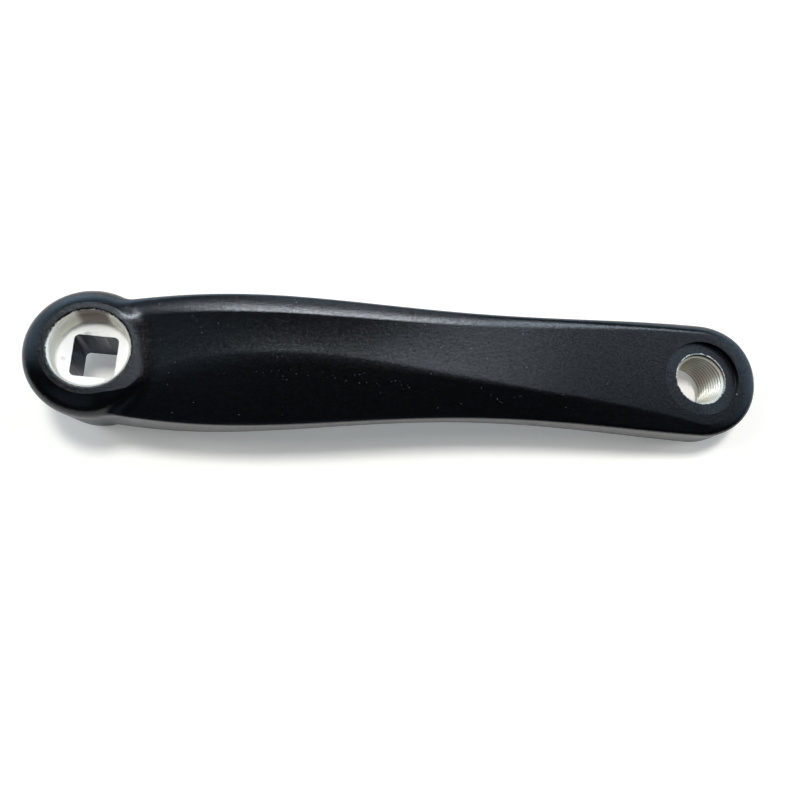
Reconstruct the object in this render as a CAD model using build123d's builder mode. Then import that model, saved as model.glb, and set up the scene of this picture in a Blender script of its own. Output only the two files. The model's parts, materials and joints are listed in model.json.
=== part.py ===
# Left crank arm for a square-taper spindle: one forging with a spindle boss, a bowed arm and a pedal eye.
# Z is the spindle axis, with Z = 0 on the boss's inner face and +Z away from the bicycle.
# The pedal axis is parallel to it, at +X.

import os
from math import comb, cos, radians, sin

from build123d import *

os.makedirs("parts", exist_ok=True)

# Driving dimensions, mm
crank_length = 170.0  # spindle axis to pedal axis
pedal_rise = 26.0  # pedal seat above the boss's outer face

boss_height = 29.1
boss_radius = 18.9
boss_land_radius = 13.5
boss_shoulder_drop = 7.5
boss_base_radius = 16.4
boss_base_chamfer = 1.0

extractor_radius = 11.0  # M22 thread
extractor_depth = 8.6
extractor_chamfer = 0.35
square_side = 12.55  # across the flats at the narrow end
square_taper = 2.0  # degrees on each flat
square_corner = 1.5

eye_radius = 16.15
eye_thickness = 13.9  # pedal seat to the eye's back
eye_edge_rounding = 3.5
eye_back_bevel = 3.0
pedal_radius = 7.14  # 9/16 inch thread
pedal_chamfer = 0.25
seat_radius = 10.5
seat_depth = 1.16  # front face above the pedal seat, on the pedal axis

root_inset = 2.2  # the arm's root inside the boss's wall
lower_edge_rounding = 1.0
facet_end_width = 2.9  # what is left of the lower facet at the eye
facet_bow = 0.8  # swell of the lower facet at the root
face_slope_along = 0.085  # slopes of the front face at the eye
face_slope_across = 0.07

seat_z = boss_height + pedal_rise
eye_back_z = seat_z - eye_thickness
floor_z = boss_height - extractor_depth
face_z = seat_z + seat_depth
end_z = face_z + face_slope_across * eye_radius
end_drop = 2 * face_slope_across * eye_radius

# Guide curves along the arm, from the spindle axis to the pedal axis, as evenly spaced Bezier values
half_width_guide = [boss_radius - root_inset, 20.4, 24.9, 11.9, 13.2, eye_radius, eye_radius]
face_rise_guide = [-0.2, 0.335, 0.81, 0.873, 1.0]  # shares of the rise from the boss to the eye
thickness_guide = [20.0, 25.0, 6.5, 18.0, 13.3, end_z - eye_back_z]
lower_drop_guide = [3.4, 5.4, 1.2, end_drop]  # lower edge below the upper one
crease_guide = [0.1, 0.6, -3.3, -7.0, facet_end_width - eye_radius]
edge_rounding_guide = [5.7, 8.6, 2.1, eye_edge_rounding]
back_bevel_guide = [2.5, 4.6, eye_back_bevel]
arm_spans = 8
eye_angles = range(90, -91, -30)


def follow(guide, t):
    n = len(guide) - 1
    return sum(comb(n, i) * t**i * (1 - t) ** (n - i) * value for i, value in enumerate(guide))


def draw_arm_section(t):
    half_width = follow(half_width_guide, t)
    front_z = boss_height + follow(face_rise_guide, t) * (end_z - boss_height)
    back_z = front_z - follow(thickness_guide, t)
    lower_z = front_z - follow(lower_drop_guide, t)
    bevel = follow(back_bevel_guide, t)
    crease_y = follow(crease_guide, t)
    crease_z = front_z - face_slope_across * t**2 * (half_width - crease_y)
    # the facet below the crease swells near the boss, where the crease is soft
    facet_slope = (crease_z - lower_z) / (half_width + crease_y)
    facet_y = 2 * lower_edge_rounding - half_width
    middle_y = (facet_y + crease_y) / 2
    facet_start = (facet_y, lower_z + facet_slope * (facet_y + half_width))
    facet_middle = (middle_y, lower_z + facet_slope * (middle_y + half_width) + facet_bow * (1 - t) ** 2)
    with BuildSketch(Plane.YZ.offset(t * crank_length)) as section:
        with BuildLine():
            FilletPolyline(
                (crease_y, crease_z),
                (half_width, front_z),
                (half_width, back_z + bevel),
                (half_width - bevel, back_z),
                (bevel - half_width, back_z),
                (-half_width, back_z + bevel),
                (-half_width, lower_z),
                facet_start,
                radius=[follow(edge_rounding_guide, t), 0, 0, 0, 0, lower_edge_rounding],
            )
            Bezier(facet_start, facet_middle, (crease_y, crease_z))
        make_face()
    return section.sketch


def draw_eye_section(angle):
    out = Vector(cos(radians(angle)), sin(radians(angle)), 0)
    slope = face_slope_along * out.X + face_slope_across * out.Y
    core = pedal_radius / 2
    # the front edge is crisp where the lower facet runs out and round on the rest of the eye
    roundness = min(1.0, (angle + 90) / 90)
    edge_rounding = lower_edge_rounding + roundness * (eye_edge_rounding - lower_edge_rounding)
    section_plane = Plane((crank_length, 0, 0), x_dir=out, z_dir=out.cross(Vector(0, 0, 1)))
    with BuildSketch(section_plane) as section:
        with BuildLine():
            FilletPolyline(
                (core, face_z + slope * core),
                (eye_radius, face_z + slope * eye_radius),
                (eye_radius, eye_back_z + eye_back_bevel),
                (eye_radius - eye_back_bevel, eye_back_z),
                (core, eye_back_z),
                radius=[0, edge_rounding, 0, 0, 0],
                close=True,
            )
        make_face()
    return section.sketch


with BuildPart() as crank_arm:
    # Boss: drafted wall, rounded shoulder and flat land round the mouth
    with BuildSketch(Plane.XZ):
        with BuildLine():
            wall = Polyline(
                (0, 0),
                (boss_base_radius - boss_base_chamfer, 0),
                (boss_base_radius, boss_base_chamfer),
                (boss_radius, boss_height - boss_shoulder_drop),
            )
            shoulder = TangentArc(wall @ 1, (boss_land_radius, boss_height), tangent=wall % 1)
            Polyline(shoulder @ 1, (0, boss_height), (0, 0))
        make_face()
    revolve(axis=Axis.Z)

    # Arm and pedal eye
    loft(sections=[draw_arm_section(i / arm_spans) for i in range(arm_spans + 1)])
    loft(sections=[draw_eye_section(angle) for angle in eye_angles])

    # Mouth for the extractor's thread
    with BuildSketch(Plane.XY.offset(floor_z)):
        Circle(extractor_radius)
    extrude(amount=extractor_depth, mode=Mode.SUBTRACT)
    mouth = crank_arm.edges(Select.LAST).filter_by(GeomType.CIRCLE).sort_by(Axis.Z)[-1]
    chamfer(mouth, extractor_chamfer)

    # Tapered square socket
    with BuildSketch(Plane.XY.offset(floor_z)) as square:
        Rectangle(square_side, square_side)
        fillet(square.vertices(), square_corner)
    extrude(amount=-floor_z, taper=-square_taper, mode=Mode.SUBTRACT)

    # Pedal seat and hole
    with BuildSketch(Plane.XY.offset(seat_z)):
        with Locations((crank_length, 0)):
            Circle(seat_radius)
    extrude(amount=eye_thickness, mode=Mode.SUBTRACT)
    with BuildSketch(Plane.XZ.move(Location((crank_length, 0, 0)))):
        with BuildLine():
            Polyline(
                (0, eye_back_z - pedal_chamfer),
                (pedal_radius + 2 * pedal_chamfer, eye_back_z - pedal_chamfer),
                (pedal_radius, eye_back_z + pedal_chamfer),
                (pedal_radius, seat_z - pedal_chamfer),
                (pedal_radius + 2 * pedal_chamfer, seat_z + pedal_chamfer),
                (0, seat_z + pedal_chamfer),
                close=True,
            )
        make_face()
    revolve(axis=Axis((crank_length, 0, 0), (0, 0, 1)), mode=Mode.SUBTRACT)

crank_arm.part.label = "crank_arm"
export_step(crank_arm.part, "parts/crank_arm.step")
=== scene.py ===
import json
import math
from functools import partial

import bmesh
import bpy
import numpy as np
from mathutils import Matrix, Vector, kdtree


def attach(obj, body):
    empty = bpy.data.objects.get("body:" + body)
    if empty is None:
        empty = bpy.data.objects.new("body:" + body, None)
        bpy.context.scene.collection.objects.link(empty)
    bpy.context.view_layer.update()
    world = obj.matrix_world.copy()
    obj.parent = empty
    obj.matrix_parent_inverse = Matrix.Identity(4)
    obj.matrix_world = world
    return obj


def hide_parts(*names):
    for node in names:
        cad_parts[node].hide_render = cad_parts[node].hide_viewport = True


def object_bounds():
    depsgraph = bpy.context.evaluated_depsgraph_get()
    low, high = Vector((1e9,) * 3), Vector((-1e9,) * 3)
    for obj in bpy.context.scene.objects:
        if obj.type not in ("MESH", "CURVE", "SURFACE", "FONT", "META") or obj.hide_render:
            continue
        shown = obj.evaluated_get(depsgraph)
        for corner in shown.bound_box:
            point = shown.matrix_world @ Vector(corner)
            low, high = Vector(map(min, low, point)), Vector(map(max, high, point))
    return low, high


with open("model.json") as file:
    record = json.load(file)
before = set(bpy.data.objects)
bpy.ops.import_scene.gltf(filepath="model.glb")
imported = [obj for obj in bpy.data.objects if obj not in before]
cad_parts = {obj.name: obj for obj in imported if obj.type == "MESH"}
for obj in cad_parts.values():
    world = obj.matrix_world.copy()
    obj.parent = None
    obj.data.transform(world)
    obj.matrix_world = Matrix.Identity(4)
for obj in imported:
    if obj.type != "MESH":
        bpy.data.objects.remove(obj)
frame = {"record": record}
cadLow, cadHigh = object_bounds()
print("frame loaded")

mm = 0.001
weldGap = 1e-7  # m
mounts = {mount["name"]: mount for mount in frame["record"]["mounts"]}
scene = bpy.context.scene

# sizes that the CAD frame gives, in mm
pedalX = mounts["pedal_thread"]["pos_m"][0] / mm
pedalRadius = mounts["pedal_thread"]["dims"]["r_mm"]
seatZ = mounts["pedal_seat"]["pos_m"][2] / mm
mouthFloorZ = mounts["bolt_seat"]["pos_m"][2] / mm
mouthRadius = mounts["extractor_thread"]["dims"]["r_mm"]
eyeRadius = cadHigh.x / mm - pedalX
bossRadius = -cadLow.x / mm

forging = {
    "bossHeight": 29.1,
    "landRadius": 13.5,
    # degrees from the arm's line: the land is wide up to the first, plain past the second, or the third below
    "landFan": (30, 54, 70),
    "landFanRadius": 16.5,
    "landRing": 0.25,  # first ring of faces inside the land's edge
    "shoulderDrop": 7.5,
    "shoulderStart": 21.0,  # degrees below the land
    "baseRadius": 16.4,
    "baseChamfer": 1.0,
    "eyeThickness": 13.9,
    "eyeEdge": 3.5,
    "eyeCrown": (1.5, 0.75),  # reach of the eye's front edge inwards and down, in roundings
    "crownFade": 50,  # degrees past the arm over which the crown comes up
    "eyeBack": 5.0,
    "seatDepth": 0.95,
    "slopeAlong": 0.085,  # of the face at the eye
    "slopeAcross": 0.07,
    "bandBow": 11.0,  # degrees that the band along the upper edge turns through
    "bandEdge": 1.6,
    "bandBend": 0.4,  # where the band bends, as a share of the way to the corner
    "bandFull": 7.0,  # degrees of break from which the band is complete
    "rootInset": 2.2,
    "lowerEdge": 1.0,
    "facetEnd": 2.9,
    "facetRoot": 3.0,  # how much wider the lower facet is at the boss, at the least
    "facetDrop": 0.45,  # of the lower facet below the face where it reaches the eye
    "facetFade": 38,  # degrees round the eye over which the facet runs out
    "facetBow": 0.2,
    "softLeast": 0.4,  # a crease harder than this bends at its own corner
}
eyeBackZ = seatZ - forging["eyeThickness"]
faceZ = seatZ + forging["seatDepth"]
endZ = faceZ + forging["slopeAcross"] * eyeRadius
endDrop = 2 * forging["slopeAcross"] * eyeRadius
core = pedalRadius / 2

# guide values from the spindle axis to the pedal axis
guides = {
    "halfWidth": [bossRadius - forging["rootInset"], 20.4, 24.9, 11.9, 13.2, eyeRadius, eyeRadius],
    "faceRise": [-0.09, 0.29, 0.81, 0.873, 1.0],
    "thickness": [20.0, 25.0, 6.5, 18.0, 13.3, endZ - eyeBackZ],
    "lowerDrop": [3.7, 6.0, 2.4, endDrop + forging["facetDrop"]],
    "crease": [-16.0, 4.2, 4.5, -10.1, -5.1, forging["facetEnd"] - eyeRadius],
    "creaseSoft": [3.0, 2.4, 2.0, 0.8, 0.5, 0.3],
    "faceTilt": [0.1, 0.05, 0.05, 0.06, forging["slopeAcross"]],
    "faceSag": [0.1, 0.3, 0.2, 0.0, 0.0],
    "upperEdge": [6.2, 9.2, 2.3, forging["eyeEdge"]],
    "upperBreak": [3.5, 9.0, 9.0, 9.0, 0.0],  # degrees between the face and the start of the upper edge
    "bandTrim": [1.7, 1.0, 0.9, 0.2, 0.0],
    "back": [4.2, 7.7, forging["eyeBack"]],
}
# where the core's edges fall between the crease and the upper edge, and across the back
endTilt = math.atan(forging["slopeAcross"])
faceStartY = forging["facetEnd"] - eyeRadius + guides["creaseSoft"][-1] * math.cos(endTilt)
faceEndY = eyeRadius - forging["eyeEdge"] / math.tan(math.pi / 4 - endTilt / 2) * math.cos(endTilt)
coreShares = {
    "faceLow": (-core - faceStartY) / (faceEndY - faceStartY),
    "faceHigh": (core - faceStartY) / (faceEndY - faceStartY),
    "back": 0.5 - core / (eyeRadius - forging["eyeBack"]) / 2,
}

# points on each part of a section; the lower half of the face has as many as the upper half
steps = {
    "face": 30, "edge": 18, "wall": 8, "back": 10, "flat": 8,
    "middle": 8, "rim": 2, "facet": 11, "crease": 12,
}
# sections along the arm and round the eye, then rings and sides of what is turned
counts = {"arm": 190, "eye": 48, "bossWall": 24, "shoulder": 26, "land": 20, "lip": 9, "sides": 144}


def alongGuide(name, t):
    guide = guides[name]
    n = len(guide) - 1
    return sum(math.comb(n, i) * t**i * (1 - t) ** (n - i) * value for i, value in enumerate(guide))


def unit(v):
    return v / np.linalg.norm(v)


def ease(share):
    share = min(max(share, 0.0), 1.0)
    return share * share * (3 - 2 * share)


def blended(first, second, share):
    return [p * (1 - share) + q * share for p, q in zip(first, second)]


def straight(start, end, count):
    return [start + (end - start) * i / count for i in range(count)]


def roundCorner(before, corner, after, radius, count):
    a, b = unit(before - corner), unit(after - corner)
    half = math.acos(np.clip(a @ b, -1, 1)) / 2
    centre = corner + unit(a + b) * radius / math.sin(half)
    reach = radius / math.tan(half)
    start, end = corner + a * reach - centre, corner + b * reach - centre
    turn = math.pi - 2 * half
    ways = [turn * k / count for k in range(count + 1)]
    return [centre + (start * math.sin(turn - way) + end * math.sin(way)) / math.sin(turn) for way in ways]


def softBend(start, middle, end, count):
    shares = [k / count for k in range(count)]
    return [start * (1 - k) ** 2 + middle * 2 * k * (1 - k) + end * k**2 for k in shares]


def brokenEdge(before, corner, after, t, count):
    # a gently bowed band between the face and the wall, which ends in a plain rounding at the eye
    radius, turn = alongGuide("upperEdge", t), math.radians(alongGuide("upperBreak", t))
    plain = roundCorner(before, corner, after, radius, count)
    a, b = unit(corner - before), unit(after - corner)
    bow = math.radians(forging["bandBow"])
    first = a * math.cos(turn) + b * math.sin(turn)
    last = a * math.cos(turn + bow) + b * math.sin(turn + bow)
    start = plain[0]
    middle = start + first * forging["bandBend"] * np.linalg.norm(corner - start)
    edge = crossPoint(middle, last, corner - a * alongGuide("bandTrim", t), b)
    tight = roundCorner(middle, edge, edge + b, forging["bandEdge"], count // 2)
    bent = softBend(start, middle, tight[0], count - count // 2) + tight
    return blended(plain, bent, ease(turn / math.radians(forging["bandFull"])))


def crossPoint(p, along, q, other):
    s = np.linalg.solve(np.column_stack([along, -other]), q - p)
    return p + along * s[0]


def armSection(t):
    width = alongGuide("halfWidth", t)
    frontZ = forging["bossHeight"] + alongGuide("faceRise", t) * (endZ - forging["bossHeight"])
    backZ = frontZ - alongGuide("thickness", t)
    lowerZ = frontZ - alongGuide("lowerDrop", t)
    creaseY = max(alongGuide("crease", t), forging["facetEnd"] + forging["facetRoot"] * (1 - t) ** 2 - width)
    crease = np.array([creaseY, frontZ - alongGuide("faceTilt", t) * (width - creaseY)])
    upper = np.array([width, frontZ])
    lower = np.array([-width, lowerZ])
    backUpper, backLower = np.array([width, backZ]), np.array([-width, backZ])
    slope = (crease[1] - lowerZ) / (width + creaseY)
    startY = 2 * forging["lowerEdge"] - width
    facetStart = np.array([startY, lowerZ + slope * (startY + width)])
    bow = np.array([0, forging["facetBow"] * (1 - t) ** 2])
    facetMiddle = (facetStart + crease) / 2 + bow
    # the crease is a soft bend near the boss and crisp near the eye
    soft = alongGuide("creaseSoft", t)
    faceWay = unit(upper - crease)
    softUpper = crease + faceWay * soft
    cut = 1 - soft / np.linalg.norm(crease - facetStart)
    firstHalf = facetStart + (facetMiddle - facetStart) * cut
    secondHalf = facetMiddle + (crease - facetMiddle) * cut
    softLower = firstHalf + (secondHalf - firstHalf) * cut
    bend = secondHalf - firstHalf
    softMiddle = crossPoint(softUpper, faceWay, softLower, bend) if soft > forging["softLeast"] else crease
    back = alongGuide("back", t)
    upperArc = brokenEdge(crease, upper, backUpper, t, steps["edge"])
    backUpperArc = roundCorner(upper, backUpper, backLower, back, steps["back"])
    backLowerArc = roundCorner(backUpper, backLower, lower, back, steps["back"])
    lowerArc = roundCorner(backLower, lower, facetStart, forging["lowerEdge"], steps["edge"])
    # two points on the face and two on the back meet the core of the eye at the arm's end
    faceRun, backRun = upperArc[0] - softUpper, backLowerArc[0] - backUpperArc[-1]
    sag = np.array([0, alongGuide("faceSag", t)])

    def onFace(low, high, count):
        shares = [low + (high - low) * k / count for k in range(count)]
        return [softUpper + faceRun * f - sag * 4 * f * (1 - f) for f in shares]

    faceLow, faceHigh = coreShares["faceLow"], coreShares["faceHigh"]
    backHigh = backUpperArc[-1] + backRun * coreShares["back"]
    backLow = backUpperArc[-1] + backRun * (1 - coreShares["back"])
    rest = steps["face"] - steps["rim"] - steps["facet"] - steps["crease"]
    loop = onFace(faceHigh, 1, steps["face"]) + upperArc[:-1]
    loop += straight(upperArc[-1], backUpperArc[0], steps["wall"]) + backUpperArc[:-1]
    loop += straight(backUpperArc[-1], backHigh, steps["flat"]) + straight(backHigh, backLow, steps["middle"])
    loop += straight(backLow, backLowerArc[0], steps["flat"]) + backLowerArc[:-1]
    loop += straight(backLowerArc[-1], lowerArc[0], steps["wall"]) + lowerArc[:-1]
    loop += straight(lowerArc[-1], facetStart, steps["rim"])
    loop += softBend(facetStart, firstHalf, softLower, steps["facet"])
    loop += softBend(softLower, softMiddle, softUpper, steps["crease"])
    return loop + onFace(0, faceLow, rest) + onFace(faceLow, faceHigh, steps["middle"])


def eyeHalf(angle):
    way = math.radians(angle)
    slope = forging["slopeAlong"] * math.cos(way) + forging["slopeAcross"] * math.sin(way)
    crisp = forging["lowerEdge"]
    edge = crisp + min(1.0, (angle + 90) / 90) * (forging["eyeEdge"] - crisp)
    inner = np.array([core, faceZ + slope * core])
    outer = np.array([eyeRadius, faceZ + slope * eyeRadius])
    outerBack, innerBack = np.array([eyeRadius, eyeBackZ]), np.array([core, eyeBackZ])
    edgeArc = roundCorner(inner, outer, outerBack, edge, steps["edge"])
    # the front edge turns into a wider crown away from the arm
    inwards, down = forging["eyeCrown"]
    crownStart = outer + unit(inner - outer) * edge * inwards
    crownEnd = outer + unit(outerBack - outer) * edge * down
    crown = softBend(crownStart, outer, crownEnd, steps["edge"]) + [crownEnd]
    edgeArc = blended(edgeArc, crown, ease((90 - abs(angle)) / forging["crownFade"]))
    backArc = roundCorner(outer, outerBack, innerBack, forging["eyeBack"], steps["back"])
    rim = edgeArc + straight(edgeArc[-1], backArc[0], steps["wall"])[1:] + backArc
    rim += straight(backArc[-1], innerBack, steps["flat"])[1:] + [innerBack]
    return inner, rim, lambda r, z: np.array([pedalX + r * math.cos(way), r * math.sin(way), z])


def eyeLoop(phi, lowerShares):
    innerUp, rimUp, placeUp = eyeHalf(90 - phi)
    innerLow, rimLow, placeLow = eyeHalf(phi - 90)
    blend = phi / 90
    fade = ease(1 - phi / forging["facetFade"])

    def sunk(point):
        # the lower facet runs out round the eye
        out = (point[0] - eyeRadius + forging["facetEnd"]) / forging["facetEnd"]
        high = (point[1] - eyeBackZ) / forging["eyeThickness"]
        drop = forging["facetDrop"] * fade * min(max(out, 0), 1) * min(max(high, 0), 1)
        return placeLow(point[0], point[1] - drop)

    loop = [placeUp(*p) for p in straight(innerUp, rimUp[0], steps["face"]) + rimUp[:-1]]
    loop += straight(placeUp(*rimUp[-1]), placeLow(*rimLow[-1]), steps["middle"])
    loop += [sunk(p) for p in rimLow[:0:-1]]
    for k in range(steps["face"]):
        share = lowerShares[k] * (1 - blend) + (1 - k / steps["face"]) * blend
        loop.append(sunk(innerLow + (rimLow[0] - innerLow) * share))
    return loop + straight(placeLow(*innerLow), placeUp(*innerUp), steps["middle"])


def landReach(angle):
    near, upperFar, lowerFar = forging["landFan"]
    far = upperFar if angle > 0 else lowerFar
    fan = ease((far - abs(math.degrees(angle))) / (far - near))
    return forging["landRadius"] + (forging["landFanRadius"] - forging["landRadius"]) * fan


def bossProfile(angle):
    base = np.array([forging["baseRadius"], forging["baseChamfer"]])
    wallTop = np.array([bossRadius, forging["bossHeight"] - forging["shoulderDrop"]])
    land = np.array([landReach(angle), forging["bossHeight"]])
    fall = math.radians(forging["shoulderStart"])
    corner = crossPoint(wallTop, unit(wallTop - base), land, np.array([math.cos(fall), -math.sin(fall)]))
    under = [np.array([0.0, 0.0]), np.array([forging["baseRadius"] - forging["baseChamfer"], 0.0])]
    inner, axis = land - np.array([forging["landRing"], 0]), np.array([0.0, land[1]])
    outline = under + straight(base, wallTop, counts["bossWall"])
    outline += softBend(wallTop, corner, land, counts["shoulder"]) + [land]
    return outline + straight(inner, axis, counts["land"]) + [axis]


def meshObject(name, points, faces):
    mesh = bpy.data.meshes.new(name)
    mesh.from_pydata([tuple(mm * c for c in p) for p in points], [], faces)
    work = bmesh.new()
    work.from_mesh(mesh)
    bmesh.ops.remove_doubles(work, verts=work.verts, dist=weldGap)
    bmesh.ops.recalc_face_normals(work, faces=work.faces)
    work.to_mesh(mesh)
    work.free()
    made = bpy.data.objects.new(name, mesh)
    scene.collection.objects.link(made)
    return made


def skinLoops(name, loops, endCap=True):
    count = len(loops[0])
    points = [p for loop in loops for p in loop]
    faces = [tuple(range(count))]
    for i in range(len(loops) - 1):
        here, there = i * count, (i + 1) * count
        for k in range(count):
            m = (k + 1) % count
            faces.append((here + k, here + m, there + m, there + k))
    if endCap:
        faces.append(tuple(range(len(points) - count, len(points))))
    return meshObject(name, points, faces)


def turned(name, profile, centreX=0.0):
    sides = counts["sides"]
    loops = []
    for i in range(sides):
        a = math.pi * (2 * i / sides - 1)
        outline = profile(a) if callable(profile) else profile
        loops.append([(centreX + r * math.cos(a), r * math.sin(a), z) for r, z in outline])
    points = [p for loop in loops for p in loop]
    count = len(loops[0])
    faces = []
    for i in range(sides):
        here, there = i * count, (i + 1) % sides * count
        for k in range(count - 1):
            faces.append((here + k, here + k + 1, there + k + 1, there + k))
    return meshObject(name, points, faces)


def evaluated(piece):
    return bpy.data.meshes.new_from_object(piece.evaluated_get(bpy.context.evaluated_depsgraph_get()))


def combine(piece, tool, how):
    change = piece.modifiers.new("change", "BOOLEAN")
    change.operation = how
    change.solver = "EXACT"
    change.object = tool
    made = evaluated(piece)
    piece.modifiers.remove(change)
    piece.data = made
    bpy.data.objects.remove(tool)


# the soft valley where the boss runs into the arm
valley = {
    "depth": 0.25,  # of the blend where the land runs into the face
    "skin": 0.1,  # a point this close to the land or the face lies on it
    "nowhere": -99.0,  # height of the face beside the arm
    "rimFade": 1.0,  # the blend comes up over this from the boss's outline
    "axisFade": 6.0,  # and over this from the spindle axis
    "end": 26.0,  # along the arm
    "hollow": 4.0,  # degrees; a hollow edge sharper than this is softened
    "reach": 3.0,
    "tight": 0.7,  # share of the reach on top, where the land meets the face
    "topZ": 27.0,
    "pull": 0.6,  # how far a point moves towards its neighbours in a pass
    "falloff": 1.5,
    "passes": 50,
}


def blendFace(piece, loops):
    # a smooth maximum of the boss's top and the arm's face, as heights over the plan
    depth, lowest = valley["depth"], forging["bossHeight"] - forging["shoulderDrop"]
    # the lower half of the face, its middle and the lower edge without its first point
    lowerCount = steps["face"] + steps["middle"] + steps["edge"] - 1
    spacing = loops[1][0][0] - loops[0][0][0]
    tops = []
    for loop in loops[: int(bossRadius / spacing) + 2]:
        top = sorted((y, z) for x, y, z in loop[-lowerCount:] + loop[: steps["face"] + steps["edge"]])
        tops.append(([y for y, z in top], [z for y, z in top]))
    for vert in piece.data.vertices:
        x, y, z = vert.co / mm
        radius = math.hypot(x, y)
        if x < 0 or radius > bossRadius or z < lowest:
            continue
        i = int(x / spacing)
        share = x / spacing - i
        near = ((tops[i], 1 - share), (tops[i + 1], share))
        armZ = sum(w * np.interp(y, *top, left=valley["nowhere"], right=valley["nowhere"]) for top, w in near)
        outline = sorted((r, h) for r, h in bossProfile(math.atan2(y, x)) if h > lowest)
        landZ = np.interp(radius, [r for r, h in outline], [h for r, h in outline])
        if abs(z - max(armZ, landZ)) < valley["skin"]:
            fade = min((bossRadius - radius) / valley["rimFade"], 1) * min(x / valley["axisFade"], 1)
            vert.co.z += fade * max(depth - abs(armZ - landZ), 0) ** 2 / (4 * depth) * mm


def softenValley(piece):
    work = bmesh.new()
    work.from_mesh(piece.data)
    reach, end, hollow = valley["reach"] * mm, valley["end"] * mm, -math.radians(valley["hollow"])
    seeds = []
    for edge in work.edges:
        middle = (edge.verts[0].co + edge.verts[1].co) / 2
        if middle.x < end and edge.is_manifold and edge.calc_face_angle_signed() < hollow:
            seeds.append(middle)
    tree = kdtree.KDTree(len(seeds))
    for i, seed in enumerate(seeds):
        tree.insert(seed, i)
    tree.balance()
    near = []
    for vert in work.verts:
        gap = tree.find(vert.co)[2]
        # tighter on top than down the boss's sides
        onTop = vert.co.y > 0 and vert.co.z > valley["topZ"] * mm
        spread = reach * (valley["tight"] if onTop else 1)
        if gap < spread:
            near.append((vert, valley["pull"] * (1 - gap / spread) ** valley["falloff"]))
    for _ in range(valley["passes"]):
        moved = []
        for vert, share in near:
            around = [edge.other_vert(vert).co for edge in vert.link_edges]
            middle = sum(around, Vector()) / len(around)
            moved.append(vert.co.lerp(middle, share))
        for (vert, _), place in zip(near, moved):
            vert.co = place
    work.to_mesh(piece.data)
    work.free()


# holes; past is how far the cutting shape reaches beyond the surface
socket = {"side": 12.55, "taper": 2.0, "corner": 1.5, "cornerSteps": 8, "past": 2.0}
mouth = {"lip": 0.5, "land": 0.35, "past": 5.0}
seat = {"radius": 10.5, "corner": 0.12, "holeLip": 0.1, "lift": 0.35, "past": 8.0, "backPast": 3.0}


def socketLoop(z):
    half = socket["side"] / 2 + math.tan(math.radians(socket["taper"])) * (mouthFloorZ - z)
    inset = half - socket["corner"]
    loop = []
    for turn in range(4):
        for k in range(socket["cornerSteps"] + 1):
            a = math.radians(90 * turn + 90 * k / socket["cornerSteps"])
            cx = inset if turn in (0, 3) else -inset
            cy = inset if turn in (0, 1) else -inset
            loop.append((cx + socket["corner"] * math.cos(a), cy + socket["corner"] * math.sin(a), z))
    return loop


def makeForging():
    count = counts["arm"]
    loops = [[(i / count * pedalX, y, z) for y, z in armSection(i / count)] for i in range(count + 1)]
    lowerFace = [-y for x, y, z in loops[-1]][-steps["face"] - steps["middle"] : -steps["middle"]]
    lowerShares = [(y - core) / (lowerFace[0] - core) for y in lowerFace]
    loops += [eyeLoop(90 * i / counts["eye"], lowerShares) for i in range(1, counts["eye"] + 1)]
    arm = skinLoops("arm", loops, endCap=False)
    boss = turned("boss", bossProfile)
    combine(arm, boss, "UNION")
    blendFace(arm, loops)
    softenValley(arm)
    print("forging joined:", len(arm.data.polygons), "faces")
    bossHeight, lip = forging["bossHeight"], mouth["lip"]
    rim, above = mouthRadius + mouth["land"], bossHeight + mouth["past"]
    turns = np.linspace(0, math.pi / 2, counts["lip"])
    mouthCut = [(0, mouthFloorZ), (rim, mouthFloorZ)]
    mouthCut += [(rim + lip * (1 - math.cos(a)), bossHeight - lip * (1 - math.sin(a))) for a in turns]
    mouthCut += [(rim + lip, above), (0, above)]
    combine(arm, turned("mouthCut", mouthCut), "DIFFERENCE")
    socketCut = [socketLoop(z) for z in (mouthFloorZ + socket["past"], -socket["past"])]
    combine(arm, skinLoops("socketCut", socketCut), "DIFFERENCE")
    hole, below, above = pedalRadius + seat["holeLip"], eyeBackZ - seat["backPast"], seatZ + seat["past"]
    seatFloor, corner = seatZ + seat["lift"], seat["corner"]
    seatCut = [(0, below), (hole, below), (hole, seatFloor), (seat["radius"] - corner, seatFloor)]
    seatCut += [(seat["radius"], seatFloor + corner), (seat["radius"], above), (0, above)]
    combine(arm, turned("seatCut", seatCut, pedalX), "DIFFERENCE")
    print("holes cut:", len(arm.data.polygons), "faces")
    arm.name = "crankArm"
    return arm


def nodeOf(tree, kind, **settings):
    node = tree.nodes.new(kind)
    for key, value in settings.items():
        setattr(node, key, value)
    return node


def fill(tree, node, values):
    for label, value in values.items():
        if isinstance(value, bpy.types.NodeSocket):
            tree.links.new(value, node.inputs[label])
        else:
            node.inputs[label].default_value = value
    return node


def calc(tree, kind, operation, *values):
    node = nodeOf(tree, kind, operation=operation)
    return fill(tree, node, dict(enumerate(values))).outputs[0]


def measure(tree, operation, first, second):
    node = nodeOf(tree, "ShaderNodeVectorMath", operation=operation)
    return fill(tree, node, {0: first, 1: second}).outputs["Value"]


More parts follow.
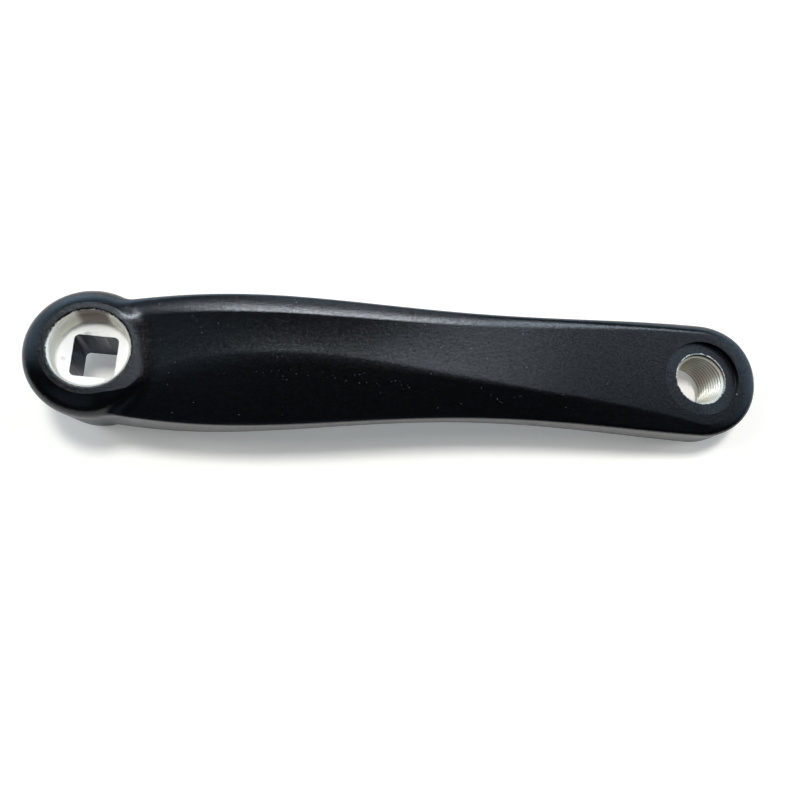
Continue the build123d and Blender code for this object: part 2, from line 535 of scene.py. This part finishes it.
# materials; each bump is a strength and a depth
noiseSpan = (0.3, 0.7)  # most of a noise lies between these
paint = {
    "colour": (0.0009, 0.001, 0.0013, 1),
    "roughness": 0.22,
    "roughnessSpread": 0.03,
    "seatRoughness": 0.42,
    "seatSkin": (0.05, 0.03),  # inside the seat's edge and above its floor
    "peelScale": 1300,
    "grainScale": 2600,
    "grainDetail": 3.0,
    "bump": (0.09, 0.0002),
    "glintScale": 2000,  # the gloss varies a little from grain to grain
    "glintSpan": (0.36, 0.64),
    "glint": (0.39, 0.66),
    "rimScale": 2200,
    "rimSpread": 1.3 * mm,  # how ragged the paint's edge is at the holes
    "mouthWear": 0.06,
    "holeWear": 0.12,
    "chips": [(9.9, -3.9, 0.05)],  # from the pedal axis, and their size
}
bareMetal = {
    "colour": (0.95, 0.88, 0.76, 1),
    "roughness": 0.3,
    "ringScale": 1100,
    "ringWobble": 1.5,
    "bump": (0.08, 0.00005),
}
# the ridge has its crest's colour from full upwards and the root's colour below, a painted shade in the
# thread's grooves; the crest is darkened with a painted shade on the side of the hole's wall that the given
# way points to
sideShadeSpan = (0.88, 0.96)
cutThread = {
    "pedalThread": {
        "crest": (1.0, 0.95, 0.8, 1), "root": (0.015, 0.012, 0.01, 1), "full": 0.85,
        "roughness": 0.38, "metallic": 0.6, "shadeWay": (0.8, 0.6, 0), "sideShade": (0.95, 0.82, 0.7, 1),
    },
    "extractorThread": {
        "crest": (1.0, 0.96, 0.84, 1), "root": (0.75, 0.7, 0.62, 1), "full": 0.3,
        "roughness": 0.34, "metallic": 0.5, "shadeWay": (-0.05, 1, 0), "sideShade": (0.3, 0.24, 0.22, 1),
    },
}
forgedFloor = {
    "colour": (0.97, 0.97, 0.95, 1),
    "mark": (0.6, 0.6, 0.6, 1),
    "markScale": 240,
    "markDetail": 6.0,
    "markSpan": (0.6, 0.72),
    "roughness": 0.55,
    "metallic": 0.05,
    "bump": (0.15, 0.0003),
}
broached = {
    # dark grey: a painted shade for the socket's walls, which lie in shade
    "colour": (0.13, 0.13, 0.14, 1),
    "roughness": 0.36,
    "roughnessSpread": 0.1,
    "lineScale": 900,
    "lineDetail": 4.0,
    "stretch": (1, 1, 0.04),  # broach lines run along the socket
    "bump": (0.3, 0.0001),
}


def newMaterial(name):
    material = bpy.data.materials.new(name)
    material.use_nodes = True
    tree = material.node_tree
    place = nodeOf(tree, "ShaderNodeTexCoord").outputs["Object"]
    return material, tree, tree.nodes["Principled BSDF"], place


def noiseOf(tree, place, scale, detail=2.0):
    noise = nodeOf(tree, "ShaderNodeTexNoise")
    return fill(tree, noise, {"Vector": place, "Scale": scale, "Detail": detail}).outputs[0]


def bumpOf(tree, height, amount):
    strength, depth = amount
    bump = nodeOf(tree, "ShaderNodeBump")
    return fill(tree, bump, {"Strength": strength, "Distance": depth, "Height": height}).outputs[0]


def ramp(tree, value, start, end, low=0.0, high=1.0):
    node = nodeOf(tree, "ShaderNodeMapRange", interpolation_type="SMOOTHSTEP")
    values = {"Value": value, "From Min": start, "From Max": end, "To Min": low, "To Max": high}
    return fill(tree, node, values).outputs[0]


def colourMix(tree, share, first, second):
    mix = nodeOf(tree, "ShaderNodeMix", data_type="RGBA")
    return fill(tree, mix, {"Factor": share, "A": first, "B": second}).outputs["Result"]


def makePaint():
    material, tree, shader, place = newMaterial("blackPaint")
    split = fill(tree, nodeOf(tree, "ShaderNodeSeparateXYZ"), {0: place})
    height = split.outputs[2]
    number = partial(calc, tree, "ShaderNodeMath")
    peel = noiseOf(tree, place, paint["peelScale"])
    grain = noiseOf(tree, place, paint["grainScale"], paint["grainDetail"])
    glint = noiseOf(tree, place, paint["glintScale"])
    ragged = number("SUBTRACT", noiseOf(tree, place, paint["rimScale"]), 0.5)
    ragged = number("MULTIPLY", ragged, paint["rimSpread"])

    def fromAxis(centreX, centreY=0.0):
        dx = number("SUBTRACT", split.outputs[0], centreX * mm)
        dy = number("SUBTRACT", split.outputs[1], centreY * mm)
        return number("SQRT", number("ADD", number("MULTIPLY", dx, dx), number("MULTIPLY", dy, dy)))

    def within(radius, *centre):
        return number("LESS_THAN", number("ADD", fromAxis(*centre), ragged), radius * mm)

    def above(level):
        return number("GREATER_THAN", height, level * mm)

    # the coat is worn off at the rims of the holes and chipped beside the pedal seat
    mouthBare = within(mouthRadius + mouth["land"] + paint["mouthWear"], 0)
    mouthBare = number("MULTIPLY", mouthBare, above(mouthFloorZ))
    bare = number("MAXIMUM", within(pedalRadius + seat["holeLip"] + paint["holeWear"], pedalX), mouthBare)
    for x, y, size in paint["chips"]:
        chip = number("MULTIPLY", within(size, pedalX + x, y), above(seatZ))
        bare = number("MAXIMUM", bare, chip)
    middle, spread = paint["roughness"], paint["roughnessSpread"]
    coat = ramp(tree, peel, *noiseSpan, middle - spread, middle + spread)
    inset, skin = paint["seatSkin"]
    onSeat = number("LESS_THAN", fromAxis(pedalX), (seat["radius"] - inset) * mm)
    onSeat = number("MULTIPLY", onSeat, number("LESS_THAN", height, (seatZ + seat["lift"] + skin) * mm))
    coat = number("MAXIMUM", coat, number("MULTIPLY", onSeat, paint["seatRoughness"]))
    coat = number("MAXIMUM", coat, number("MULTIPLY", bare, bareMetal["roughness"]))
    fill(tree, shader, {
        "Base Color": colourMix(tree, bare, paint["colour"], bareMetal["colour"]),
        "Metallic": bare,
        "Roughness": coat,
        "Specular IOR Level": ramp(tree, glint, *paint["glintSpan"], *paint["glint"]),
        "Normal": bumpOf(tree, number("ADD", peel, grain), paint["bump"]),
    })
    return material


def makeBareMetal():
    material, tree, shader, place = newMaterial("machinedAluminium")
    rings = nodeOf(tree, "ShaderNodeTexWave", wave_type="RINGS", rings_direction="Z")
    scale, wobble = bareMetal["ringScale"], bareMetal["ringWobble"]
    fill(tree, rings, {"Vector": place, "Scale": scale, "Distortion": wobble})
    fill(tree, shader, {
        "Base Color": bareMetal["colour"],
        "Metallic": 1,
        "Roughness": bareMetal["roughness"],
        "Normal": bumpOf(tree, rings.outputs[1], bareMetal["bump"]),
    })
    return material


def makeCutThread(name):
    look = cutThread[name]
    material, tree, shader, place = newMaterial(name)
    ridge = nodeOf(tree, "ShaderNodeAttribute", attribute_name="ridge")
    # below the crest the colour turns to the root's: a painted shade in the thread's grooves
    share = ramp(tree, ridge.outputs["Fac"], 0.0, look["full"])
    # painted shade on one side of the hole's wall
    offset = calc(tree, "ShaderNodeVectorMath", "SUBTRACT", place, threads[name]["Seat"])
    offset = calc(tree, "ShaderNodeVectorMath", "MULTIPLY", offset, (1, 1, 0))
    offset = calc(tree, "ShaderNodeVectorMath", "NORMALIZE", offset)
    side = measure(tree, "DOT_PRODUCT", offset, look["shadeWay"])
    crest = colourMix(tree, ramp(tree, side, *sideShadeSpan), look["crest"], look["sideShade"])
    fill(tree, shader, {
        "Base Color": colourMix(tree, share, look["root"], crest),
        "Metallic": look["metallic"],
        "Roughness": look["roughness"],
    })
    return material


def makeForgedFloor():
    material, tree, shader, place = newMaterial("forgedFloor")
    marks = noiseOf(tree, place, forgedFloor["markScale"], forgedFloor["markDetail"])
    share = ramp(tree, marks, *forgedFloor["markSpan"])
    fill(tree, shader, {
        "Base Color": colourMix(tree, share, forgedFloor["colour"], forgedFloor["mark"]),
        "Metallic": forgedFloor["metallic"],
        "Roughness": forgedFloor["roughness"],
        "Normal": bumpOf(tree, marks, forgedFloor["bump"]),
    })
    return material


def makeBroached():
    material, tree, shader, place = newMaterial("broachedSocket")
    stretch = fill(tree, nodeOf(tree, "ShaderNodeMapping"), {"Vector": place, "Scale": broached["stretch"]})
    lines = noiseOf(tree, stretch.outputs[0], broached["lineScale"], broached["lineDetail"])
    middle, spread = broached["roughness"], broached["roughnessSpread"]
    fill(tree, shader, {
        "Base Color": broached["colour"],
        "Metallic": 1,
        "Roughness": ramp(tree, lines, *noiseSpan, middle - spread, middle + spread),
        "Normal": bumpOf(tree, lines, broached["bump"]),
    })
    return material


# where the finishes and the sharp edges go
dress = {
    "skin": 0.05,  # a face or point this close to a surface lies on it
    "socketStart": 0.3,
    "eyeInset": 0.1,
    "flat": 0.9,  # a floor's normal points up at least this much
    "sharp": 28,  # degrees
    "rimEnd": 9.0,  # the land's crisp edge ends here
    "rimGap": 0.02,
}


def dressForging(arm, finishes):
    mesh = arm.data
    mesh.materials.clear()
    for finish in finishes:
        mesh.materials.append(finish)
    skin, inset = dress["skin"], dress["eyeInset"]
    mouthReach, mouthTop = mouthRadius + mouth["land"] + skin, forging["bossHeight"] - mouth["lip"]
    holeReach = pedalRadius + seat["holeLip"] + skin
    for face in mesh.polygons:
        x, y, z = face.center / mm
        inMouth = math.hypot(x, y) < mouthReach and dress["socketStart"] < z < mouthTop
        inEye = math.hypot(x - pedalX, y) < holeReach and eyeBackZ + inset < z < seatZ - inset
        face.material_index = 1 if inMouth or inEye else 0
        if inMouth and z < mouthFloorZ + skin:
            face.material_index = 2 if face.normal.z > dress["flat"] else 3
    mesh.shade_smooth()
    mesh.set_sharp_from_angle(angle=math.radians(dress["sharp"]))
    # the land's edge is crisp, except where it runs into the face
    rim = set()
    for vert in mesh.vertices:
        x, y, z = vert.co / mm
        gap = abs(math.hypot(x, y) - landReach(math.atan2(y, x)))
        if x < dress["rimEnd"] and gap < dress["rimGap"] and z > forging["bossHeight"] - skin:
            rim.add(vert.index)
    for edge in mesh.edges:
        if rim.issuperset(edge.vertices):
            edge.use_edge_sharp = True


# thread turns: a closed sleeve whose inner wall carries the helix
sleeve = {"gap": 0.02, "wall": 0.2}
ridgeCut = (1.35, 0.15)  # the crests and roots are cut flat
threads = {
    "pedalThread": {
        "Seat": (pedalX * mm, 0, (eyeBackZ + sleeve["gap"]) * mm),
        "Radius": (pedalRadius - sleeve["gap"]) * mm,
        "Depth": 0.7 * mm,
        "Pitch": 1.27 * mm,
        "Length": (forging["eyeThickness"] - 2 * sleeve["gap"]) * mm,
        "Mouth": (pedalRadius + seat["holeLip"]) * mm,
        "Back Mouth": (pedalRadius + 0.1) * mm,
        "Wall": (pedalRadius + seat["holeLip"] + sleeve["wall"]) * mm,
        "Hand": 1.0,
        "Rows": 158,
        "Columns": 112,
    },
    "extractorThread": {
        "Seat": (0, 0, (mouthFloorZ + sleeve["gap"]) * mm),
        "Radius": (mouthRadius - sleeve["gap"]) * mm,
        "Depth": 0.3 * mm,
        "Pitch": 1.0 * mm,
        "Length": (forging["bossHeight"] - mouth["lip"] - mouthFloorZ - 2 * sleeve["gap"]) * mm,
        "Mouth": (mouthRadius + mouth["land"]) * mm,
        "Back Mouth": (mouthRadius + 0.3) * mm,
        "Wall": (mouthRadius + mouth["land"] + sleeve["wall"]) * mm,
        "Hand": -1.0,
        "Rows": 124,
        "Columns": 128,
    },
}


def newGroup(name, inputs):
    tree = bpy.data.node_groups.new(name, "GeometryNodeTree")
    tree.interface.new_socket("Geometry", in_out="INPUT", socket_type="NodeSocketGeometry")
    for kind, labels in inputs.items():
        for label in labels:
            tree.interface.new_socket(label, in_out="INPUT", socket_type="NodeSocket" + kind)
    tree.interface.new_socket("Geometry", in_out="OUTPUT", socket_type="NodeSocketGeometry")
    return tree, nodeOf(tree, "NodeGroupInput").outputs


def endGroup(tree, geometry, material):
    whole = fill(tree, nodeOf(tree, "GeometryNodeRealizeInstances"), {0: geometry})
    finish = nodeOf(tree, "GeometryNodeSetMaterial")
    fill(tree, finish, {"Geometry": whole.outputs[0], "Material": material})
    fill(tree, nodeOf(tree, "NodeGroupOutput"), {0: finish.outputs[0]})
    return tree


def threadTree(material):
    tree, given = newGroup("threadTurns", {
        "Vector": ("Seat",),
        "Float": ("Radius", "Depth", "Pitch", "Length", "Mouth", "Back Mouth", "Wall", "Hand"),
        "Int": ("Rows", "Columns"),
    })
    number = partial(calc, tree, "ShaderNodeMath")
    columns, rows = number("ADD", given["Columns"], 1), number("ADD", given["Rows"], 1)
    grid = fill(tree, nodeOf(tree, "GeometryNodeMeshGrid"), {"Vertices X": columns, "Vertices Y": rows})
    position = nodeOf(tree, "GeometryNodeInputPosition").outputs[0]
    split = fill(tree, nodeOf(tree, "ShaderNodeSeparateXYZ"), {0: position})
    around = number("ADD", split.outputs[0], 0.5)
    row = number("ROUND", number("MULTIPLY", number("ADD", split.outputs[1], 0.5), given["Rows"]))
    # rows 0, 1 and the last are the outer wall, the rest climb the inner wall
    climb = number("DIVIDE", number("SUBTRACT", row, 2), number("SUBTRACT", given["Rows"], 3))
    climb = number("MINIMUM", number("MAXIMUM", climb, 0), 1)
    first = number("LESS_THAN", row, 0.5)
    climb = number("MAXIMUM", climb, first)
    last = number("GREATER_THAN", row, number("SUBTRACT", given["Rows"], 0.5))
    outer = number("MAXIMUM", number("LESS_THAN", row, 1.5), last)
    height = number("MULTIPLY", climb, given["Length"])
    turn = number("ADD", number("DIVIDE", height, given["Pitch"]), number("MULTIPLY", given["Hand"], around))
    ridge = number("PINGPONG", number("MULTIPLY", turn, 2), 1)
    ridge = number("SUBTRACT", number("MULTIPLY", ridge, ridgeCut[0]), ridgeCut[1])
    ridge = number("MINIMUM", number("MAXIMUM", ridge, 0), 1)
    radius = number("SUBTRACT", given["Radius"], number("MULTIPLY", ridge, given["Depth"]))
    front = number("SUBTRACT", given["Mouth"], number("SUBTRACT", given["Length"], height))
    back = number("SUBTRACT", given["Back Mouth"], height)
    radius = number("MAXIMUM", number("MAXIMUM", radius, front), back)
    radius = number("MAXIMUM", radius, number("MULTIPLY", outer, given["Wall"]))
    angle = number("MULTIPLY", around, 2 * math.pi)
    place = fill(tree, nodeOf(tree, "ShaderNodeCombineXYZ"), {
        0: number("MULTIPLY", radius, number("COSINE", angle)),
        1: number("MULTIPLY", radius, number("SINE", angle)),
        2: height,
    })
    seated = calc(tree, "ShaderNodeVectorMath", "ADD", place.outputs[0], given["Seat"])
    keep = nodeOf(tree, "GeometryNodeStoreNamedAttribute", data_type="FLOAT", domain="POINT")
    fill(tree, keep, {"Geometry": grid.outputs["Mesh"], "Name": "ridge", "Value": ridge})
    put = nodeOf(tree, "GeometryNodeSetPosition")
    fill(tree, put, {"Geometry": keep.outputs[0], "Position": seated})
    weld = nodeOf(tree, "GeometryNodeMergeByDistance")
    fill(tree, weld, {"Geometry": put.outputs[0], "Distance": weldGap})
    return endGroup(tree, weld.outputs[0], material)


grownSharp = 50  # degrees


def grow(name, tree, values, startMesh=None):
    piece = bpy.data.objects.new(name, startMesh or bpy.data.meshes.new(name))
    scene.collection.objects.link(piece)
    change = piece.modifiers.new("grow", "NODES")
    change.node_group = tree
    for item in tree.interface.items_tree:
        if item.item_type == "SOCKET" and item.in_out == "INPUT" and item.name in values:
            change[item.identifier] = values[item.name]
    made = evaluated(piece)
    piece.modifiers.remove(change)
    piece.data = made
    work = bmesh.new()
    work.from_mesh(made)
    bmesh.ops.recalc_face_normals(work, faces=work.faces)
    work.to_mesh(made)
    work.free()
    made.shade_smooth()
    made.set_sharp_from_angle(angle=math.radians(grownSharp))
    return piece


# pale specks in the paint, thicker along a scuffed row on the lower facet
specks = {
    "Density": 18000.0,
    "Row Density": 500000.0,
    "Row Start": (47 * mm, -4.6 * mm, 0),
    "Row End": (88 * mm, -7.4 * mm, 0),
    "Row Width": 0.9 * mm,
    "Smallest": 0.03 * mm,
    "Largest": 0.09 * mm,
    "Seed": 11,
}
speckField = {"up": 0.75, "startX": 16 * mm, "endX": 157 * mm, "patchScale": 70, "patchPower": 3}
speckFinish = {"dark": (0.12, 0.12, 0.13, 1), "pale": (0.6, 0.6, 0.6, 1), "scale": 500, "roughness": 0.5}


def speckTree(material):
    tree, given = newGroup("paintSpecks", {
        "Vector": ("Row Start", "Row End"),
        "Float": ("Density", "Row Density", "Row Width", "Smallest", "Largest"),
        "Int": ("Seed",),
    })
    number, vector = partial(calc, tree, "ShaderNodeMath"), partial(calc, tree, "ShaderNodeVectorMath")
    dot = partial(measure, tree, "DOT_PRODUCT")
    place = nodeOf(tree, "GeometryNodeInputPosition").outputs[0]
    split = fill(tree, nodeOf(tree, "ShaderNodeSeparateXYZ"), {0: place})
    # only faces that look up, off the mouth and the pedal seat
    normal = nodeOf(tree, "GeometryNodeInputNormal").outputs[0]
    up = number("GREATER_THAN", dot(normal, (0, 0, 1)), speckField["up"])
    up = number("MULTIPLY", up, number("GREATER_THAN", split.outputs[0], speckField["startX"]))
    up = number("MULTIPLY", up, number("LESS_THAN", split.outputs[0], speckField["endX"]))
    # distance from the row, on the plan
    flat = vector("MULTIPLY", place, (1, 1, 0))
    run = vector("SUBTRACT", given["Row End"], given["Row Start"])
    offset = vector("SUBTRACT", flat, given["Row Start"])
    share = number("DIVIDE", dot(offset, run), dot(run, run))
    share = number("MINIMUM", number("MAXIMUM", share, 0), 1)
    scaled = fill(tree, nodeOf(tree, "ShaderNodeVectorMath", operation="SCALE"), {0: run, "Scale": share})
    apart = measure(tree, "DISTANCE", offset, scaled.outputs[0])
    inRow = number("LESS_THAN", apart, given["Row Width"])
    patch = noiseOf(tree, place, speckField["patchScale"])
    thick = number("POWER", number("MULTIPLY", patch, 2), speckField["patchPower"])
    thick = number("MULTIPLY", thick, given["Density"])
    thick = number("ADD", thick, number("MULTIPLY", inRow, given["Row Density"]))
    seed = given["Seed"]
    spread = nodeOf(tree, "GeometryNodeDistributePointsOnFaces", distribute_method="RANDOM")
    fill(tree, spread, {"Mesh": given["Geometry"], "Selection": up, "Density": thick, "Seed": seed})
    grainShape = fill(tree, nodeOf(tree, "GeometryNodeMeshIcoSphere"), {"Radius": 1.0})
    size = nodeOf(tree, "FunctionNodeRandomValue", data_type="FLOAT")
    fill(tree, size, {"Min": given["Smallest"], "Max": given["Largest"], "Seed": seed})
    put = fill(tree, nodeOf(tree, "GeometryNodeInstanceOnPoints"), {
        "Points": spread.outputs["Points"],
        "Instance": grainShape.outputs["Mesh"],
        "Rotation": spread.outputs["Rotation"],
        "Scale": size.outputs["Value"],
    })
    return endGroup(tree, put.outputs[0], material)


def makeSpeckFinish():
    material, tree, shader, place = newMaterial("paleSpeck")
    shade = ramp(tree, noiseOf(tree, place, speckFinish["scale"]), *noiseSpan)
    colour = colourMix(tree, shade, speckFinish["dark"], speckFinish["pale"])
    fill(tree, shader, {"Base Color": colour, "Roughness": speckFinish["roughness"]})
    return material


arm = makeForging()
dressForging(arm, [makePaint(), makeBareMetal(), makeForgedFloor(), makeBroached()])
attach(arm, "root")
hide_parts("crank_arm")

for name, values in threads.items():
    piece = grow(name, threadTree(makeCutThread(name)), values)
    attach(piece, "root")
    print(name, len(piece.data.polygons), "faces")

dust = grow("paintSpecks", speckTree(makeSpeckFinish()), specks, arm.data.copy())
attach(dust, "root")
print("paintSpecks", len(dust.data.polygons), "faces")

# stage: the arm lies on its back on a white table, touching at the boss's rim and the eye
stage = {
    "reach": 1.6,
    "colour": (0.92, 0.9, 0.86, 1),
    "roughness": 0.6,
    "specular": 0.2,
    "glow": (1.0, 0.98, 0.92, 1),
    "lift": 0.22,  # of the glow near the arm
    "fade": (0.24, 0.6),  # between these distances the glow comes up to white
    "touch": 1.2,  # mm from the start of the eye's back rounding to the point that touches
    "gap": 0.0003,  # m
}


def makeTable():
    touchBoss = Vector((forging["baseRadius"] - forging["baseChamfer"], 0, 0)) * mm
    touchEye = Vector((pedalX + eyeRadius - forging["eyeBack"] + stage["touch"], 0, eyeBackZ)) * mm
    along = (touchEye - touchBoss).normalized()
    across = Vector((0, 1, 0))
    up = along.cross(across)
    middle = (touchBoss + touchEye) / 2 - up * stage["gap"]
    reach = stage["reach"]
    signs = ((-1, -1), (1, -1), (1, 1), (-1, 1))
    corners = [middle + along * a * reach + across * b * reach for a, b in signs]
    mesh = bpy.data.meshes.new("table")
    mesh.from_pydata([tuple(c) for c in corners], [], [(0, 1, 2, 3)])
    table = bpy.data.objects.new("table", mesh)
    scene.collection.objects.link(table)
    material, tree, shader, place = newMaterial("whiteTable")
    fill(tree, shader, {
        "Base Color": stage["colour"],
        "Roughness": stage["roughness"],
        "Specular IOR Level": stage["specular"],
    })
    # far from the arm the table fades into the white background
    apart = measure(tree, "DISTANCE", place, middle)
    lift = ramp(tree, apart, *stage["fade"], stage["lift"], 1.0)
    seen = nodeOf(tree, "ShaderNodeLightPath").outputs["Is Camera Ray"]
    strength = calc(tree, "ShaderNodeMath", "MULTIPLY", seen, lift)
    glow = fill(tree, nodeOf(tree, "ShaderNodeEmission"), {"Color": stage["glow"], "Strength": strength})
    both = fill(tree, nodeOf(tree, "ShaderNodeAddShader"), {0: shader.outputs[0], 1: glow.outputs[0]})
    # seen from below, the table isn't there
    below = nodeOf(tree, "ShaderNodeNewGeometry").outputs["Backfacing"]
    clear = nodeOf(tree, "ShaderNodeBsdfTransparent").outputs[0]
    choose = fill(tree, nodeOf(tree, "ShaderNodeMixShader"), {0: below, 1: both.outputs[0], 2: clear})
    fill(tree, tree.nodes["Material Output"], {0: choose.outputs[0]})
    mesh.materials.append(material)


makeTable()

# soft studio: a lamp overhead, with a bright strip behind and dim panels for the gloss to pick up
lightTarget = (85, 0, 35)  # mm
lights = {
    "lamp": {
        "way": (-0.1, 0.16, 0.98), "away": 1.2, "size": (0.2, 0.2),
        "power": 8.9, "colour": (1.0, 0.99, 0.97), "for": "diffuse",
    },
    "sideLeft": {
        "way": (-0.75, 0.05, 0.66), "away": 1.2, "size": (0.4, 0.4),
        "power": 3, "colour": (1.0, 0.99, 0.97), "for": "diffuse",
    },
    "sideRight": {
        "way": (0.75, 0.1, 0.65), "away": 1.2, "size": (0.4, 0.4),
        "power": 3, "colour": (1.0, 0.99, 0.97), "for": "diffuse",
    },
    "strip": {
        "way": (-0.31, 0.51, 0.802), "away": 1.4, "size": (0.74, 0.17),
        "power": 8.2, "colour": (0.86, 0.93, 1.0), "for": "glossy",
    },
    "stripEnd": {
        "way": (0.2, 0.545, 0.814), "away": 1.4, "size": (0.62, 0.22),
        "power": 3.5, "colour": (0.75, 0.87, 1.0), "for": "glossy",
    },
    "skirt": {
        "way": (-0.22, 0.78, 0.58), "away": 0.6, "size": (0.3, 0.12),
        "power": 0.17, "colour": (0.7, 0.85, 1.0), "for": "glossy",
    },
    "panel": {
        "way": (-0.08, 0.32, 0.94), "away": 1.2, "size": (0.44, 0.18),
        "power": 0.8, "colour": (0.78, 0.88, 1.0), "for": "glossy",
    },
    "lowPanel": {
        "way": (0.0, 0.19, 0.98), "away": 1.2, "size": (0.36, 0.16),
        "power": 0.25, "colour": (0.78, 0.86, 1.0), "for": "glossy",
    },
    "fill": {
        "way": (0.34, 0.27, 0.9), "away": 1.2, "size": (0.6, 0.34),
        "power": 0.55, "colour": (0.76, 0.86, 1.0), "for": "glossy",
    },
}


def makeLights():
    target = Vector(lightTarget) * mm
    for name, light in lights.items():
        lamp = bpy.data.lights.new(name, "AREA")
        lamp.shape = "RECTANGLE"
        lamp.size, lamp.size_y = light["size"]
        lamp.energy = light["power"]
        lamp.color = light["colour"]
        holder = bpy.data.objects.new(name, lamp)
        way = Vector(light["way"]).normalized()
        holder.location = target + way * light["away"]
        holder.visible_diffuse = light["for"] != "glossy"
        holder.visible_glossy = light["for"] != "diffuse"
        along = (Vector((1, 0, 0)) - way * way.x).normalized()
        holder.rotation_euler = Matrix((along, way.cross(along), way)).transposed().to_euler()
        scene.collection.objects.link(holder)


makeLights()

room = {
    "colour": (0.54, 0.76, 1.0, 1),
    "base": 0.02,
    # each wall's level, and the directions between which it comes up
    "walls": {
        "far": {"level": 2.4, "gates": [((0, 1, 0), 0.6, 0.93), ((0, 0, 1), 0.5, 0.05)]},
        "left": {
            "level": 1.1,
            "gates": [((-1, 0, 0), 0.4, 0.85), ((0, 1, 0), -0.15, 0.3), ((0, 0, 1), 0.95, 0.65)],
        },
        "near": {
            "level": 0.22,
            "gates": [((0, -1, 0), 0.3, 0.6), ((-1, 0, 0), -0.2, 0.3), ((0, 0, 1), 0.2, 0.5)],
        },
        "right": {"level": 1.6, "gates": [((1, 0, 0), 0.32, 0.68), ((0, 1, 0), -0.3, 0.3)]},
    },
}


def makeRoom():
    world = bpy.data.worlds.new("room")
    scene.world = world
    world.use_nodes = True
    tree = world.node_tree
    way = nodeOf(tree, "ShaderNodeTexCoord").outputs["Generated"]
    level = room["base"]
    for wall in room["walls"].values():
        glow = wall["level"]
        for axis, start, end in wall["gates"]:
            gate = ramp(tree, measure(tree, "DOT_PRODUCT", way, axis), start, end)
            glow = calc(tree, "ShaderNodeMath", "MULTIPLY", gate, glow)
        level = calc(tree, "ShaderNodeMath", "ADD", glow, level)
    seen = nodeOf(tree, "ShaderNodeLightPath").outputs["Is Camera Ray"]
    fill(tree, tree.nodes["Background"], {
        "Strength": calc(tree, "ShaderNodeMath", "MAXIMUM", level, seen),
        "Color": colourMix(tree, seen, room["colour"], (1, 1, 1, 1)),
    })


makeRoom()

# camera of the photograph, in the arm's frame
view = {"place": (53.36, -68.51, 256.63), "turn": (0.25637, -0.16121, 0.07077), "lens": 36.43, "sensor": 36}


def makeCamera():
    data = bpy.data.cameras.new("camera")
    data.sensor_width = view["sensor"]
    data.lens = view["lens"]
    data.clip_start = 0.01
    camera = bpy.data.objects.new("camera", data)
    place, turn = Vector(view["place"]) * mm, Vector(view["turn"])
    camera.matrix_world = Matrix.Translation(place) @ Matrix.Rotation(turn.length, 4, turn.normalized())
    scene.collection.objects.link(camera)
    scene.camera = camera


makeCamera()
scene.view_settings.view_transform = "Standard"

print("dressed")
